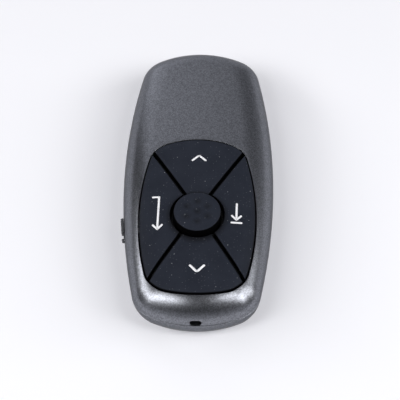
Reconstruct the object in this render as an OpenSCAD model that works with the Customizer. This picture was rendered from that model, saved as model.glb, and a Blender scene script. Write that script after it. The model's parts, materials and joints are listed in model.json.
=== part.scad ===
// Wireless presentation clicker: a painted two-part case, four soft-touch keys round a
// raised laser button, a power slider on the flank, two AAA cells and a stowed USB receiver.
// Millimetres. +Y is the laser end, +X is right, +Z is up. The origin is the centre of the
// flat base, below the widest point of the case.

/* [Case] */
// Width across the widest point
case_w = 45; // [44.5:0.5:47]
// Length from nose to tail
case_l = 100; // [100:0.5:103]
// Height of the crown above the base
case_h = 19.6; // [19.4:0.1:20.4]
// Height of the line where the two halves of the case meet
parting_z = 9.8; // [9.8:0.1:10]
// Wall thickness
wall = 1.5; // [1.4:0.05:1.6]
// Width of the rounded shoulder round the top
shoulder_w = 9; // [8.6:0.1:9.6]
// Width of the roll between the flank and the flat base
base_roll_w = 8.4; // [7.8:0.1:8.8]
// Radius of the arch across the top
crown_across_r = 120; // [110:5:400]
// Radius of the arch along the top
crown_along_r = 400; // [380:10:900]

/* [Case outline] */
// Radius of the nose
nose_r = 30; // [27:1:34]
// Radius of the corners beside the nose
front_corner_r = 9.4; // [8:0.2:11]
// Radius of the long flanks
flank_r = 200; // [180:5:250]
// Radius of the corners beside the tail
rear_corner_r = 9.7; // [8:0.1:11]
// Radius of the tail
tail_r = 32; // [28:1:36]

/* [Key panel] */
// Centre of the panel along the case
panel_y = -17.8; // [-18.2:0.1:-17.4]
// Width across the panel
panel_w = 34.4; // [33.6:0.1:34.8]
// Reach of the panel towards the nose
panel_front = 26.9; // [26.4:0.1:27.2]
// Reach of the panel towards the tail
panel_rear = 26.2; // [25.6:0.1:26.3]
// How far the keys stand above the case
key_proud = 0.3; // [0.2:0.05:0.5]
// How far a key or the button travels
key_travel = 0.4; // [0.3:0.05:0.45]
// Gap between the keys and the case
key_gap = 0.35; // [0.3:0.05:0.4]
// Width of the grooves between the keys
groove_w = 1.15; // [0.95:0.05:1.25]
// Angle of the grooves from the cross line
groove_angle = 58; // [56:0.5:60]
// Point that the grooves run from, along the case
groove_y = -17.4; // [-17.8:0.1:-17.2]
// Radius of the laser button
button_r = 6.8; // [6.6:0.1:6.9]
// Centre of the laser button along the case
button_y = -18.2; // [-18.4:0.1:-17.8]
// Height of the laser button's rim above the base
button_z = 21; // [20.4:0.1:21.4]
// Gap between the laser button and the keys
ring_gap = 1.0; // [0.9:0.05:1.1]

/* [Power slider] */
// Middle of the slider along the case
slider_y = -17.7; // [-18.5:0.1:-17]
// Length of the slider, nib included
slider_l = 8; // [7.6:0.1:8.4]
// Travel of the slider
slider_travel = 2; // [1.5:0.1:2]

/* [Cells and receiver] */
// Diameter of an AAA cell
cell_d = 10.5; // [10.3:0.1:10.5]
// Length of an AAA cell, with its cap
cell_l = 44.5; // [44:0.1:44.5]
// Width of the receiver's grip
grip_w = 15; // [14:0.2:15]
// Width of the receiver's plug
plug_w = 12; // [12:0.1:12.1]
// Height of the receiver's plug
plug_h = 4.5; // [4.4:0.1:4.5]

/* [Hidden] */
$fn = 48;
eps = 0.01;

// Finishes
gunmetal = "#54565a";
soft_black = "#292c33";
moulded_black = "#1b1c1f";
board_green = "#1f5a3a";
nickel = "#b9bcc0";
gold = "#c9a24a";
brass = "#b8954a";
steel = "#8f9297";

// Segments along the nose, front corner, flank, rear corner and tail of half an outline
arc_steps = [5, 8, 10, 8, 5];
// Rows of facets over the shoulder, and from there to the panel
shoulder_rows = 7;
top_rows = 3;
roll_rows = 8;

// Heights inside the case, from the door up
door_t = wall;
cell_z = 7.2;
board_z = 12.9;
board_t = 1.0;
board_top = board_z + board_t;
board_edge = 7.6;
board_front = 25.5;
board_rear = -39.2;
switch_w = 4.5;
switch_h = 1.5;
plunger_r = 1.1;
plunger_top = board_top + 2;
plunger_l = 0.8;
presser_r = 1.6;
contact_gap = 0.05;
frame_t = 0.6;
frame_z = board_top + 0.05;
frame_inset = 5;

// Key panel
ring_r = button_r + ring_gap;
flange_t = 0.6;
flange_out = 0.6;
flange_depth = wall + 0.1;
key_depth = flange_depth + flange_t;
end_switch_reach = 15.2;
side_switch_reach = 11;

// Battery bay and door
cell_x = 5.45;
bay_front = 17;
bay_rear = -33;
bay_half_w = 11;
door_half_w = 12;
door_gap = 0.25;
door_rear = -34.4;
door_tab_x = [-9.3, 9.3];
door_tab_half_w = 1.5;
door_tab_top = 2.2;
tray_corner_inset = 6.9;
bay_wall_top = 12.6;
plate_t = 0.4;

// Laser module
laser_z = 12.35;
barrel_r = 3.2;
barrel_rear = 28.5;
barrel_front = 42.5;
window_y = 44;

// Receiver and its dock
plug_z = 4.9;
plug_rear = 29.2;
grip_rear = 42;
grip_h = 5.9;
dock_top = 8.75;

// Screws
case_screw = [11.5, 29];
board_screw_sites = [[13, 6], [-13, 6], [0, -37.2]];

// Lanyard slot in the tail
slot_w = 3;
slot_r = 1.05;
slot_z = parting_z + 1.1;
dish_depth = 0.4;
dish_ring_r = 24;
dish_tube_r = 2.3;

// ---- Outlines: half an outline is five arcs that run tangent into each other ----

function heading(v) = atan2(v.y, v.x);
function toward(a) = [cos(a), sin(a)];

// Centre of a circle that touches two larger circles from inside, right of the line
// from the first centre to the second
function tucked(ca, ra, cb, rb, r) =
    let (d = cb - ca, l = norm(d), e = d/l, a = (pow(ra - r, 2) - pow(rb - r, 2) + l*l)/(2*l),
        h = sqrt(pow(ra - r, 2) - a*a))
    ca + a*e + h*[e.y, -e.x];

// Right half of an outline: arc centres, arc radii, and the facing where each arc ends
function outline(w, mid, front, rear, nose, front_corner, flank, rear_corner, tail) =
    let (c1 = [0, mid + front - nose], c3 = [w/2 - flank, mid], c5 = [0, mid - rear + tail],
        c2 = tucked(c1, nose, c3, flank, front_corner),
        c4 = tucked(c3, flank, c5, tail, rear_corner))
    [[c1, c2, c3, c4, c5], [nose, front_corner, flank, rear_corner, tail],
        [90, heading(c2 - c1), heading(c2 - c3), heading(c4 - c3), heading(c4 - c5), -90]];

case_line = outline(case_w, 0, case_l/2, case_l/2,
    nose_r, front_corner_r, flank_r, rear_corner_r, tail_r);
panel_line = outline(panel_w, panel_y, panel_front, panel_rear, 29, 7.4, 77, 8.9, 36);

// Point of an outline that faces angle a, moved inwards
function facing_point(line, a, inset) =
    let (k = min([for (i = [0:4]) if (a >= line[2][i + 1] - 0.001) i]))
    line[0][k] + (line[1][k] - inset)*toward(a);

// Distance from a point inside an outline to the outline
function inset_of(line, p) =
    min([for (k = [0:4]) let (v = [abs(p.x), p.y] - line[0][k], a = heading(v))
        if (a <= line[2][k] + 0.001 && a >= line[2][k + 1] - 0.001) line[1][k] - norm(v)]);

// Facings down the right side, then back up the left: [angle, side]
right_facings = concat([for (k = [0:4], i = [0:arc_steps[k] - 1])
    case_line[2][k] + (case_line[2][k + 1] - case_line[2][k])*i/arc_steps[k]], [-90]);
columns = concat([for (a = right_facings) [a, 1]],
    [for (i = [len(right_facings) - 2:-1:1]) [right_facings[i], -1]]);

function column_point(line, column, inset) =
    let (p = facing_point(line, column[0], inset)) [column[1]*p.x, p.y];
function loop(line, inset) = [for (c = columns) column_point(line, c, inset)];

// ---- Surfaces ----

// Quarter ellipse: 0 at the rim, 1 where the shoulder ends
function quarter(u) = let (v = 1 - min(1, max(0, u))) sqrt(1 - v*v);
function crown(p) = case_h - p.x*p.x/(2*crown_across_r) - p.y*p.y/(2*crown_along_r);

// Height of the top of the case over a point, or of the surface at a depth under it
function roof(p, depth) =
    parting_z + (crown(p) - depth - parting_z)
        *quarter((inset_of(case_line, p) - depth)/(shoulder_w - depth));

// Section of the base roll at a depth: [inset, height], from the rim down at angle t
function roll(t, depth) =
    [depth + (base_roll_w - depth)*(1 - cos(t)), parting_z - (parting_z - depth)*sin(t)];

// Distances run from the rim to the panel: close steps over the shoulder, then wide ones
function run_steps(reach, depth) =
    let (s = shoulder_w - depth, w = min(s, 0.8*reach), turn = acos(1 - w/s))
    concat([for (j = [0:shoulder_rows]) s*(1 - cos(turn*j/shoulder_rows))],
        [for (j = [1:top_rows]) w + (reach - w)*j/top_rows]);

// One column of the top of the case, from the rim to the panel opening
function top_column(column, depth) =
    let (a = column_point(case_line, column, depth), b = column_point(panel_line, column, 0),
        steps = run_steps(norm(b - a), depth))
    [for (j = [0:len(steps) - 1]) let (p = a + (b - a)*steps[j]/norm(b - a))
        [p.x, p.y, j == 0 ? parting_z : roof(p, depth)]];

function raised(points, z) = [for (p = points) [p.x, p.y, z]];
function transposed(m) = [for (j = [0:len(m[0]) - 1]) [for (i = [0:len(m) - 1]) m[i][j]]];
function reversed(list) = [for (i = [len(list) - 1:-1:0]) list[i]];

// ---- Building blocks ----

// Solid through a stack of closed loops. ring joins the last loop to the first, poles are
// points that close the ends, and otherwise the ends are flat.
module loft(loops, ring = false, poles = []) {
    n = len(loops[0]);
    m = len(loops);
    last = (m - 1)*n;
    sides = [for (j = [0:(ring ? m : m - 1) - 1], i = [0:n - 1])
        let (k = (i + 1)%n, up = ((j + 1)%m)*n)
        each [[j*n + i, j*n + k, up + k], [j*n + i, up + k, up + i]]];
    flat_ends = [[for (i = [n - 1:-1:0]) i], [for (i = [0:n - 1]) last + i]];
    pole_ends = [for (i = [0:n - 1]) let (k = (i + 1)%n)
        each [[m*n, k, i], [m*n + 1, last + i, last + k]]];
    ends = ring ? [] : len(poles) == 2 ? pole_ends : flat_ends;
    polyhedron(concat([for (l = loops) each l], poles), concat(sides, ends), 20);
}

// Plate of the key panel between two depths under the top of the case
module panel_plate(inset, upper, lower) {
    rings = 4;
    middle = [0, panel_y];
    function ring_at(s, depth) = [for (p = loop(panel_line, inset))
        let (q = middle + (p - middle)*s) [q.x, q.y, roof(q, depth)]];
    loft(concat([for (k = [1:rings]) ring_at(k/rings, lower)],
        [for (k = [rings:-1:1]) ring_at(k/rings, upper)]),
        poles = [[0, panel_y, roof(middle, lower)], [0, panel_y, roof(middle, upper)]]);
}

// Rounded box from its low corner, with upright edges of radius r
module upright_box(low, size, r) {
    translate(low) linear_extrude(size.z) hull()
        for (x = [r, size.x - r], y = [r, size.y - r]) translate([x, y]) circle(r, $fn = 24);
}

module box(low, high) {
    translate(low) cube(high - low);
}

module at_button() {
    translate([0, button_y, 0]) children();
}

// Frame on the left flank: -X points out of the case and +Y runs forward along it
slider_facing = asin(-slider_y/flank_r);
slider_foot = case_line[0][2] + flank_r*toward(-slider_facing);

module at_slider() {
    translate([-slider_foot.x, slider_foot.y, parting_z]) rotate(slider_facing) children();
}

// Laser axis along +Y, starting at y
module on_laser_axis(y) {
    translate([0, y, laser_z]) rotate([-90, 0, 0]) children();
}

// ---- Case ----

module top_shell() {
    loft(concat(transposed([for (c = columns) top_column(c, 0)]),
        reversed(transposed([for (c = columns) top_column(c, wall)]))), ring = true);
}

// Shallow lens-shaped dish round the slot, cut by a ring that grazes the tail
module lanyard_dish() {
    translate([0, dish_depth - case_l/2 - dish_ring_r, slot_z])
        rotate_extrude($fn = 180) translate([dish_ring_r - dish_tube_r, 0]) circle(dish_tube_r);
}

module lanyard_slot() {
    for (x = [-1, 1]*(slot_w/2 - slot_r))
        translate([x, -case_l/2 - 1, slot_z]) rotate([-90, 0, 0]) cylinder(r = slot_r, h = 4);
    box([slot_r - slot_w/2, -case_l/2 - 1, slot_z - slot_r],
        [slot_w/2 - slot_r, -case_l/2 + 3, slot_z + slot_r]);
}

// Channel or its walls: a profile of the tail, from its low points straight up to top
module lanyard_profile(half_w, low, top) {
    rear = low[len(low) - 1].x;
    translate([half_w, 0, 0]) rotate([90, 0, -90]) linear_extrude(2*half_w)
        polygon([for (p = concat(low, [[rear, top], [low[0].x, top]])) [-p.x, p.y]]);
}

module slider_opening() {
    at_slider() box([-3, -1.65, -1.05], [4, 1.65 + slider_travel, 1.05]);
    at_slider() box([1.6, -2.9, -1.9], [6, 2.9 + slider_travel, 3]);
}

module top_case() {
    hood_top = 13.4;
    color(gunmetal) difference() {
        union() {
            top_shell();
            for (x = [-1, 1]*case_screw.x)
                translate([x, case_screw.y, parting_z]) cylinder(r = 2.2, h = 7.2);
            on_laser_axis(43.8) cylinder(r = 2.4, h = 2.6);
            on_laser_axis(46) cylinder(r = 2, h = 1.5);
            box([-2.9, -48.2, parting_z], [2.9, -40.3, hood_top]);
        }
        for (x = [-1, 1]*case_screw.x)
            translate([x, case_screw.y, parting_z - eps]) cylinder(r = 0.85, h = 5.6);
        on_laser_axis(43.8 - eps) cylinder(r = 1.9, h = 1.2 + eps);
        on_laser_axis(44) cylinder(r = 1.5, h = 8);
        box([-1.9, -49, parting_z - eps], [1.9, -41.3, hood_top - 0.8]);
        lanyard_slot();
        lanyard_dish();
        slider_opening();
    }
}

// Bottom shell with the lip that the top case closes over
module bottom_shell() {
    lip = [[0, parting_z], [wall + 0.2, parting_z], [wall + 0.2, parting_z + 1.1],
        [wall + 0.9, parting_z + 1.1], [wall + 0.9, parting_z - 1.2]];
    outside = [for (k = [0:roll_rows - 1]) roll(90 - 90*k/roll_rows, 0)];
    inside = [for (k = [1:roll_rows - 1]) roll(10 + 80*k/(roll_rows - 1), wall)];
    loft([for (s = concat(outside, lip, inside)) raised(loop(case_line, s.x), s.y)]);
}

// Moulded frame that holds the cells, the board and the receiver's dock
module inner_frame() {
    floor_z = wall + 0.3;
    dock_half_w = 8.5;
    dock_rear = plug_rear - 1.3;
    color(moulded_black) difference() {
        union() {
            intersection() {
                box([-13.4, door_rear - 1.2, floor_z], [13.4, bay_front + 1.4, bay_wall_top]);
                linear_extrude(bay_wall_top) polygon(loop(case_line, tray_corner_inset));
            }
            for (x = [-12.9, 12.9], y = [-12, 12])
                translate([x, y, wall]) cylinder(r = 0.6, h = 1);
            for (s = board_screw_sites)
                translate([s.x, s.y, 3]) cylinder(r = 2, h = board_z - 3);
            box([-1.2, board_screw_sites[2].y, 3], [1.2, door_rear, bay_wall_top]);
            // Dock, stepped to clear the roll of the nose, and the web that carries it
            box([-dock_half_w, dock_rear, wall], [dock_half_w, 40, dock_top]);
            box([-dock_half_w, 40 - eps, 2.5], [dock_half_w, 43, dock_top]);
            box([-3, bay_front + 1.3, floor_z], [3, dock_rear + eps, dock_top]);
        }
        // Bay, with a ledge that the door closes against and notches for its tabs and latch
        box([-bay_half_w, bay_rear, 0], [bay_half_w, bay_front, bay_wall_top + eps]);
        for (x = door_tab_x)
            box([x - door_tab_half_w - 0.3, bay_front - eps, 0],
                [x + door_tab_half_w + 0.3, bay_front + 2, 3.3]);
        box([-4, door_rear - 2, 0], [4, bay_rear + eps, 5]);
        // Pockets for the receiver's plug and grip
        box([-plug_w/2 - 0.25, plug_rear - 0.3, plug_z - plug_h/2 - 0.25],
            [plug_w/2 + 0.25, grip_rear, plug_z + plug_h/2 + 0.25]);
        receiver_mouth();
        for (s = board_screw_sites) translate([s.x, s.y, 7]) cylinder(r = 0.8, h = 7);
    }
}

module receiver_mouth() {
    box([-grip_w/2 - 0.25, grip_rear - 0.4, plug_z - grip_h/2 - 0.25],
        [grip_w/2 + 0.25, case_l/2 + 2, plug_z + grip_h/2 + 0.25]);
}

module bottom_case() {
    color(gunmetal) difference() {
        union() {
            bottom_shell();
            lanyard_profile(2.9, [[-40.3, wall - 0.1], [-45.3, wall], [-47.3, 3.5]], parting_z);
            for (x = [-1, 1]*case_screw.x) translate([x, case_screw.y, wall - 0.1]) {
                cylinder(r = 2.9, h = 2.2);
                cylinder(r = 2.2, h = parting_z - wall + 0.05);
            }
        }
        // Door opening
        box([-door_half_w - door_gap, door_rear, -1], [door_half_w + door_gap, bay_front, wall + eps]);
        receiver_mouth();
        // Scoop in the base for a fingertip
        translate([0, case_l/2, -1]) cylinder(r = 5, h = 4);
        // Lower edge of the dish round the lanyard slot
        lanyard_dish();
        // Lanyard way from the tail slot to the base, and room in the lip for its hood
        lanyard_profile(1.9, [[-41.3, -1], [-44.6, -1], [-45.8, 4.5]], parting_z + 2);
        box([-3.2, -48.6, parting_z], [3.2, -47, parting_z + 2]);
        for (x = [-1, 1]*case_screw.x) translate([x, case_screw.y, -1]) {
            cylinder(r = 2, h = 3.2);
            cylinder(r = 1.1, h = 12);
        }
        slider_opening();
    }
}

// ---- Keys ----

// Wedge between two grooves, seen from above, with its point where the grooves meet
module wedge(direction, half_angle) {
    reach = 40;
    translate([0, groove_y, 0]) rotate(direction) translate([groove_w/2/sin(half_angle), 0])
        linear_extrude(30) polygon([[0, 0], reach*toward(-half_angle), reach*toward(half_angle)]);
}

module key(direction, half_angle, switch_reach) {
    site = [0, panel_y] + switch_reach*toward(direction);
    presser_z = plunger_top + contact_gap;
    color(soft_black) {
        difference() {
            intersection() {
                union() {
                    panel_plate(key_gap, -key_proud, flange_depth + 0.1);
                    panel_plate(-flange_out, flange_depth, key_depth);
                }
                wedge(direction, half_angle);
            }
            at_button() cylinder(r = ring_r, h = 30);
        }
        translate([site.x, site.y, presser_z])
            cylinder(r = presser_r, h = roof(site, key_depth/2) - presser_z);
    }
}

module up_key() {
    key(90, 90 - groove_angle, end_switch_reach);
}

module down_key() {
    key(-90, 90 - groove_angle, end_switch_reach);
}

module enter_key() {
    key(180, groove_angle, side_switch_reach);
}

module tab_key() {
    key(0, groove_angle, side_switch_reach);
}

module laser_button() {
    edge_r = 0.5;
    dome = 0.15;
    underside = 16.9;
    dimple_r = 0.97;
    dimple_depth = 0.25;
    color(soft_black) at_button() difference() {
        rotate_extrude() polygon(concat([[0, plunger_top + contact_gap],
            [presser_r, plunger_top + contact_gap], [presser_r, underside], [button_r, underside]],
            [for (a = [0:15:90]) [button_r - edge_r, button_z - edge_r] + edge_r*toward(a)],
            [[button_r/2, button_z + 0.75*dome], [0, button_z + dome]]));
        for (a = [30:60:330]) rotate(a) translate([3.5, 0, button_z + 0.11 + dimple_r - dimple_depth])
            sphere(dimple_r);
        translate([0, 0, button_z + dome + dimple_r - dimple_depth]) sphere(dimple_r);
    }
}

// Blade of the frame that stands in a groove, with its top following the keys
module groove_blade(angle) {
    blade_t = 0.5;
    ends = [ring_r, panel_front - 3.4];
    cover = 1.3;
    stations = [for (k = [0:5]) ends[0] + (ends[1] - ends[0])*k/5];
    profile = concat([[ends[1], frame_z + 0.1], [ends[0], frame_z + 0.1]],
        [for (r = stations) [r, roof([0, groove_y] + r*toward(angle), cover)]]);
    translate([0, groove_y, 0]) rotate(angle) rotate([90, 0, 0]) translate([0, 0, -blade_t/2])
        linear_extrude(blade_t) polygon(profile);
}

module key_frame() {
    tube_in = button_r + 0.25;
    tube_out = ring_r - 0.25;
    color(moulded_black) difference() {
        union() {
            translate([0, 0, frame_z]) linear_extrude(frame_t) polygon(loop(panel_line, frame_inset));
            at_button() translate([0, 0, frame_z]) cylinder(r = tube_out, h = 3.1);
            for (a = [groove_angle, 180 - groove_angle, 180 + groove_angle, -groove_angle])
                groove_blade(a);
        }
        at_button() translate([0, 0, frame_z + frame_t]) cylinder(r = tube_in, h = 10);
        for (site = switch_sites)
            box([site.x - 2.55, site.y - 2.55, frame_z - 1], [site.x + 2.55, site.y + 2.55, 15.6]);
        translate([board_screw_sites[2].x, board_screw_sites[2].y, frame_z - 1]) cylinder(r = 2, h = 3);
    }
}

// ---- Switches: up, down, enter, tab and laser ----

switch_sites = [[0, panel_y + end_switch_reach], [0, panel_y - end_switch_reach],
    [-side_switch_reach, panel_y], [side_switch_reach, panel_y], [0, button_y]];

module tact_switch(site) {
    // The plunger keeps this much clear of the well's floor when it is down
    spare = 0.3;
    well_floor = plunger_top - plunger_l - board_top - key_travel - spare;
    color(nickel) translate([site.x, site.y, board_top]) difference() {
        upright_box([-switch_w/2, -switch_w/2, 0], [switch_w, switch_w, switch_h], 0.5);
        translate([0, 0, well_floor]) cylinder(r = plunger_r + 0.1, h = 2);
    }
}

module tact_plunger(site) {
    color(moulded_black) translate([site.x, site.y, plunger_top - plunger_l])
        cylinder(r = plunger_r, h = plunger_l);
}

// ---- Circuit board ----

module circuit_board() {
    color(board_green) difference() {
        union() {
            intersection() {
                translate([0, 0, board_z]) linear_extrude(board_t) polygon(loop(case_line, board_edge));
                box([-30, board_rear, 0], [30, board_front, board_top + 1]);
            }
            // Ear over the power switch
            at_slider() box([5.6, -3.3, board_z - parting_z], [9, 5.3, board_top - parting_z]);
        }
        for (s = board_screw_sites) translate([s.x, s.y, board_z - 1]) cylinder(r = 1, h = 4);
    }
}

module controller_chip() {
    color("#202124") {
        box([-3, 11.5, board_top + 0.1], [3, 17.5, board_top + 0.95]);
        for (k = [-2:2]) for (side = [-1, 1])
            box([min(side*2.9, side*3.5), 14.5 + k - 0.2, board_top],
                [max(side*2.9, side*3.5), 14.5 + k + 0.2, board_top + 0.4]);
    }
}

module crystal() {
    color(nickel) upright_box([6.4, 12.6, board_top], [3.2, 2.5, 0.8], 0.4);
}

// Meandering track near the nose edge of the board
module board_antenna() {
    track_w = 0.6;
    pitch = 1.6;
    turns = 8;
    color(gold) for (k = [0:turns - 1]) translate([-6.4 + k*pitch, 20, board_top]) {
        cube([track_w, 4.4, 0.08]);
        translate([0, k%2 == 0 ? 4.4 - track_w : 0, 0])
            cube([k < turns - 1 ? pitch + track_w : track_w, track_w, 0.08]);
    }
}

// Resistors and capacitors beside the chip
module chip_parts() {
    color("#8a6a4c") for (k = [0:3]) for (x = [-9.5, 11.5])
        box([x - 0.8, 8.5 + 2.4*k, board_top], [x + 0.8, 9.3 + 2.4*k, board_top + 0.6]);
}

module insulating_sheet() {
    color("#d8c27a") box([-10.8, -32.3, board_z - 0.15], [10.8, 16.3, board_z]);
}

// ---- Screws ----

module pan_screw(head_r, head_h, shank_r, shank_l) {
    difference() {
        union() {
            translate([0, 0, -head_h]) cylinder(r = head_r, h = head_h);
            cylinder(r = shank_r, h = shank_l);
        }
        for (turn = [0, 90]) rotate(turn)
            translate([-head_r*0.6, -0.2, -head_h - eps]) cube([head_r*1.2, 0.4, 0.5]);
    }
}

module case_screws() {
    color(steel) for (x = [-1, 1]*case_screw.x)
        translate([x, case_screw.y, 2.2]) pan_screw(1.8, 1.2, 0.8, 12.6);
}

module board_screws() {
    color(steel) for (s = board_screw_sites)
        translate([s.x, s.y, board_top]) mirror([0, 0, 1]) pan_screw(1.7, 0.8, 0.75, 5.5);
}

// ---- Power slider and its switch ----

module power_slider() {
    front = slider_l/2;
    nib_l = 1.5;
    nib_gap = 0.8;
    block_rear = -front + nib_l + nib_gap;
    ribs = 4;
    rib_pitch = (front - block_rear - 1)/(ribs - 1);
    color(moulded_black) at_slider() {
        box([-0.3, -front, -1.2], [-0.1, front, 1.2]);
        box([-0.55, block_rear, -1.1], [-0.2, front, 1.1]);
        box([-0.55, -front, -0.9], [-0.2, -front + nib_l, 0.9]);
        for (k = [0:ribs - 1]) translate([-0.5, block_rear + 0.5 + k*rib_pitch, -1.1])
            cylinder(r = 0.28, h = 2.2, $fn = 24);
        box([-0.2, -1.5, -0.9], [2.15, 1.5, 0.9]);
        box([2.05, -2.6, -1.5], [2.6, 2.6, 2.1]);
        for (side = [-1, 1])
            box([2.5, side*1.025 - 0.475, 0.9], [3.5, side*1.025 + 0.475, 2.1]);
    }
}

module power_switch() {
    color(nickel) at_slider() difference() {
        box([3.75, -3.3, -0.1], [6.9, 5.3, board_z - parting_z]);
        box([3.7, -0.65, 0.9], [4.6, 0.65 + slider_travel, 2.1]);
    }
}

module power_switch_lever() {
    color(moulded_black) at_slider() box([2.65, -0.5, 1], [4.4, 0.5, 2]);
}

// ---- Laser module ----

module laser_barrel() {
    l = barrel_front - barrel_rear;
    color(brass) on_laser_axis(barrel_rear) rotate_extrude() polygon([[2.85, 0], [barrel_r, 0],
        [barrel_r, l - 0.5], [barrel_r - 0.5, l], [2.15, l], [2.15, l - 2.6], [1.5, l - 2.6],
        [1.5, 6.5], [1.9, 6.5], [1.9, 2.4], [2.85, 2.4]]);
}

module laser_lens() {
    color([0.8, 0.9, 0.95, 0.6]) on_laser_axis(barrel_front - 2.6) {
        cylinder(r = 2.1, h = 0.5);
        translate([0, 0, 0.5]) intersection() {
            cylinder(r = 2.1, h = 1);
            translate([0, 0, -3.4]) sphere(4);
        }
    }
}

module laser_diode() {
    color(gold) on_laser_axis(barrel_rear + 1.1) {
        cylinder(r = 2.8, h = 1.2);
        cylinder(r = 1.75, h = 3.6);
        for (a = [90, 210, 330]) rotate(a) translate([1.27, 0, -3.9])
            cylinder(r = 0.22, h = 4.2, $fn = 16);
    }
}

module laser_driver_board() {
    color(board_green) difference() {
        box([-2.8, 26.1, 9.6], [2.8, 26.9, 15.2]);
        on_laser_axis(26) for (a = [90, 210, 330]) rotate(a) translate([1.27, 0, 0])
            cylinder(r = 0.3, h = 2, $fn = 16);
    }
}

// Saddle on the roof of the dock that holds the barrel
module laser_cradle() {
    color(moulded_black) difference() {
        box([-4.2, 30, dock_top], [4.2, 40.5, laser_z]);
        on_laser_axis(29) cylinder(r = barrel_r + 0.03, h = 12);
        for (y = [33, 37]) box([-5, y, dock_top + 1], [5, y + 1.2, laser_z + 1]);
    }
}

module laser_window() {
    color([0.45, 0.05, 0.06, 0.7]) on_laser_axis(window_y) cylinder(r = 1.85, h = 1);
}

// ---- Cells, contacts and door ----

// Cell along +Y from its flat end, cap at the far end
module cell() {
    cap_l = 1;
    r = cell_d/2;
    l = cell_l - cap_l;
    rotate([-90, 0, 0]) rotate_extrude() polygon([[0, 0.3], [3.6, 0.3], [4.1, 0], [r - 0.4, 0],
        [r, 0.4], [r, l - 0.5], [r - 0.5, l], [2.2, l], [1.9, l + 0.2], [1.9, cell_l], [0, cell_l]]);
}

left_cell_y = bay_front - plate_t - contact_gap - cell_l;
right_cell_y = bay_rear + plate_t + contact_gap + cell_l;

module battery_left() {
    color("#2d6f8f") translate([-cell_x, left_cell_y, cell_z]) cell();
}

module battery_right() {
    color("#2d6f8f") translate([cell_x, right_cell_y, cell_z]) rotate(180) cell();
}

// Coned coil spring from a contact plate, wide end on the plate, along +Y
module coil_spring(l) {
    wire_r = 0.3;
    wide = 3.4;
    narrow = 2.2;
    turns = 3.5;
    steps = 49;
    sides = 6;
    pitch_l = l - 2*wire_r;
    loft([for (k = [0:steps]) let (t = k/steps, a = -360*turns*t, r = wide + (narrow - wide)*t)
        [for (i = [0:sides - 1]) let (b = 360*i/sides, q = r + wire_r*cos(b))
            [q*cos(a), wire_r + pitch_l*t + wire_r*sin(b), q*sin(a)]]]);
}

spring_l = bay_front - bay_rear - cell_l - 2*plate_t - 2*contact_gap;

module spring_left() {
    color(nickel) translate([-cell_x, bay_rear + plate_t, cell_z]) coil_spring(spring_l);
}

module spring_right() {
    color(nickel) translate([cell_x, bay_front - plate_t, cell_z]) rotate(180) coil_spring(spring_l);
}

// Contact plate against an end wall of the bay, with a solder tab up to the board
module contact_plate(x, y, half_w) {
    box([x - half_w, y, 3.4], [x + half_w, y + plate_t, 12]);
    box([x - 1, y, 11.9], [x + 1, y + plate_t, board_z]);
}

module contact_positive() {
    color(nickel) contact_plate(-cell_x, bay_front - plate_t, 4);
}

module contact_negative() {
    color(nickel) contact_plate(cell_x, bay_front - plate_t, 4);
}

module contact_bridge() {
    color(nickel) box([-9.6, bay_rear, 5.2], [9.6, bay_rear + plate_t, 11.6]);
}

module battery_door() {
    thumb_y = -27;
    color(gunmetal) difference() {
        union() {
            upright_box([-door_half_w, door_rear + door_gap, 0],
                [2*door_half_w, bay_front - door_rear - 2*door_gap, door_t], 0.6);
            for (x = door_tab_x) {
                box([x - door_tab_half_w, 16, door_t - 0.5],
                    [x + door_tab_half_w, bay_front - door_gap, door_tab_top]);
                box([x - door_tab_half_w, 16, door_t + 0.12],
                    [x + door_tab_half_w, bay_front + 1.2, door_tab_top]);
            }
            box([-3.5, door_rear + 0.3, door_t - 0.5], [3.5, door_rear + 1.2, 4.2]);
            // Saddles that the cells lie in
            for (y = [-25, -8, 9]) difference() {
                box([-10.4, y - 0.5, door_t - 0.5], [10.4, y + 0.5, 3.4]);
                for (x = [-cell_x, cell_x]) translate([x, y - 1, cell_z]) rotate([-90, 0, 0])
                    cylinder(r = cell_d/2 + 0.05, h = 2);
            }
        }
        // Thumb grip: five shallow grooves across the outside
        for (k = [0:4]) translate([-5, thumb_y + 1.6*k, -0.15]) rotate([0, 90, 0])
            cylinder(r = 0.5, h = 10);
    }
}

// ---- USB receiver ----

module receiver_grip() {
    low = plug_z - grip_h/2;
    high = plug_z + grip_h/2;
    color(moulded_black) difference() {
        intersection() {
            box([-grip_w/2, grip_rear, low], [grip_w/2, case_l/2, high]);
            // End that follows the nose, half a millimetre inside it
            translate([0, case_l/2 - nose_r, 0]) rotate_extrude($fn = 96)
                polygon([[0, 0], [nose_r - 6, 0], [nose_r - 3.8, low], [nose_r - 2.5, 3.4],
                    [nose_r - 1.2, 5.8], [nose_r - 0.7, high], [0, high]]);
        }
        for (k = [0:2]) translate([-grip_w/2 - 1, 43.6 + 1.3*k, low - 0.15]) rotate([0, 90, 0])
            cylinder(r = 0.35, h = grip_w + 2, $fn = 24);
    }
}

module receiver_plug() {
    shell_t = 0.3;
    low = plug_z - plug_h/2;
    color(nickel) difference() {
        box([-plug_w/2, plug_rear, low], [plug_w/2, grip_rear, low + plug_h]);
        box([-plug_w/2 + shell_t, plug_rear - 1, low + shell_t],
            [plug_w/2 - shell_t, grip_rear - 0.5, low + plug_h - shell_t]);
        for (x = [-2.7, 2.7]) box([x - 1.1, 33.2, low - 1], [x + 1.1, 35.4, low + plug_h + 1]);
    }
}

module receiver_tongue() {
    color("#e8e8e4") box([-5.5, plug_rear + 0.6, plug_z + 0.05], [5.5, grip_rear - 0.5, plug_z + 1.9]);
}

module receiver_contacts() {
    color(gold) for (x = [-3.5, -1, 1, 3.5])
        box([x - 0.5, plug_rear + 1.2, plug_z - 0.1], [x + 0.5, grip_rear - 0.6, plug_z + 0.05]);
}

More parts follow.
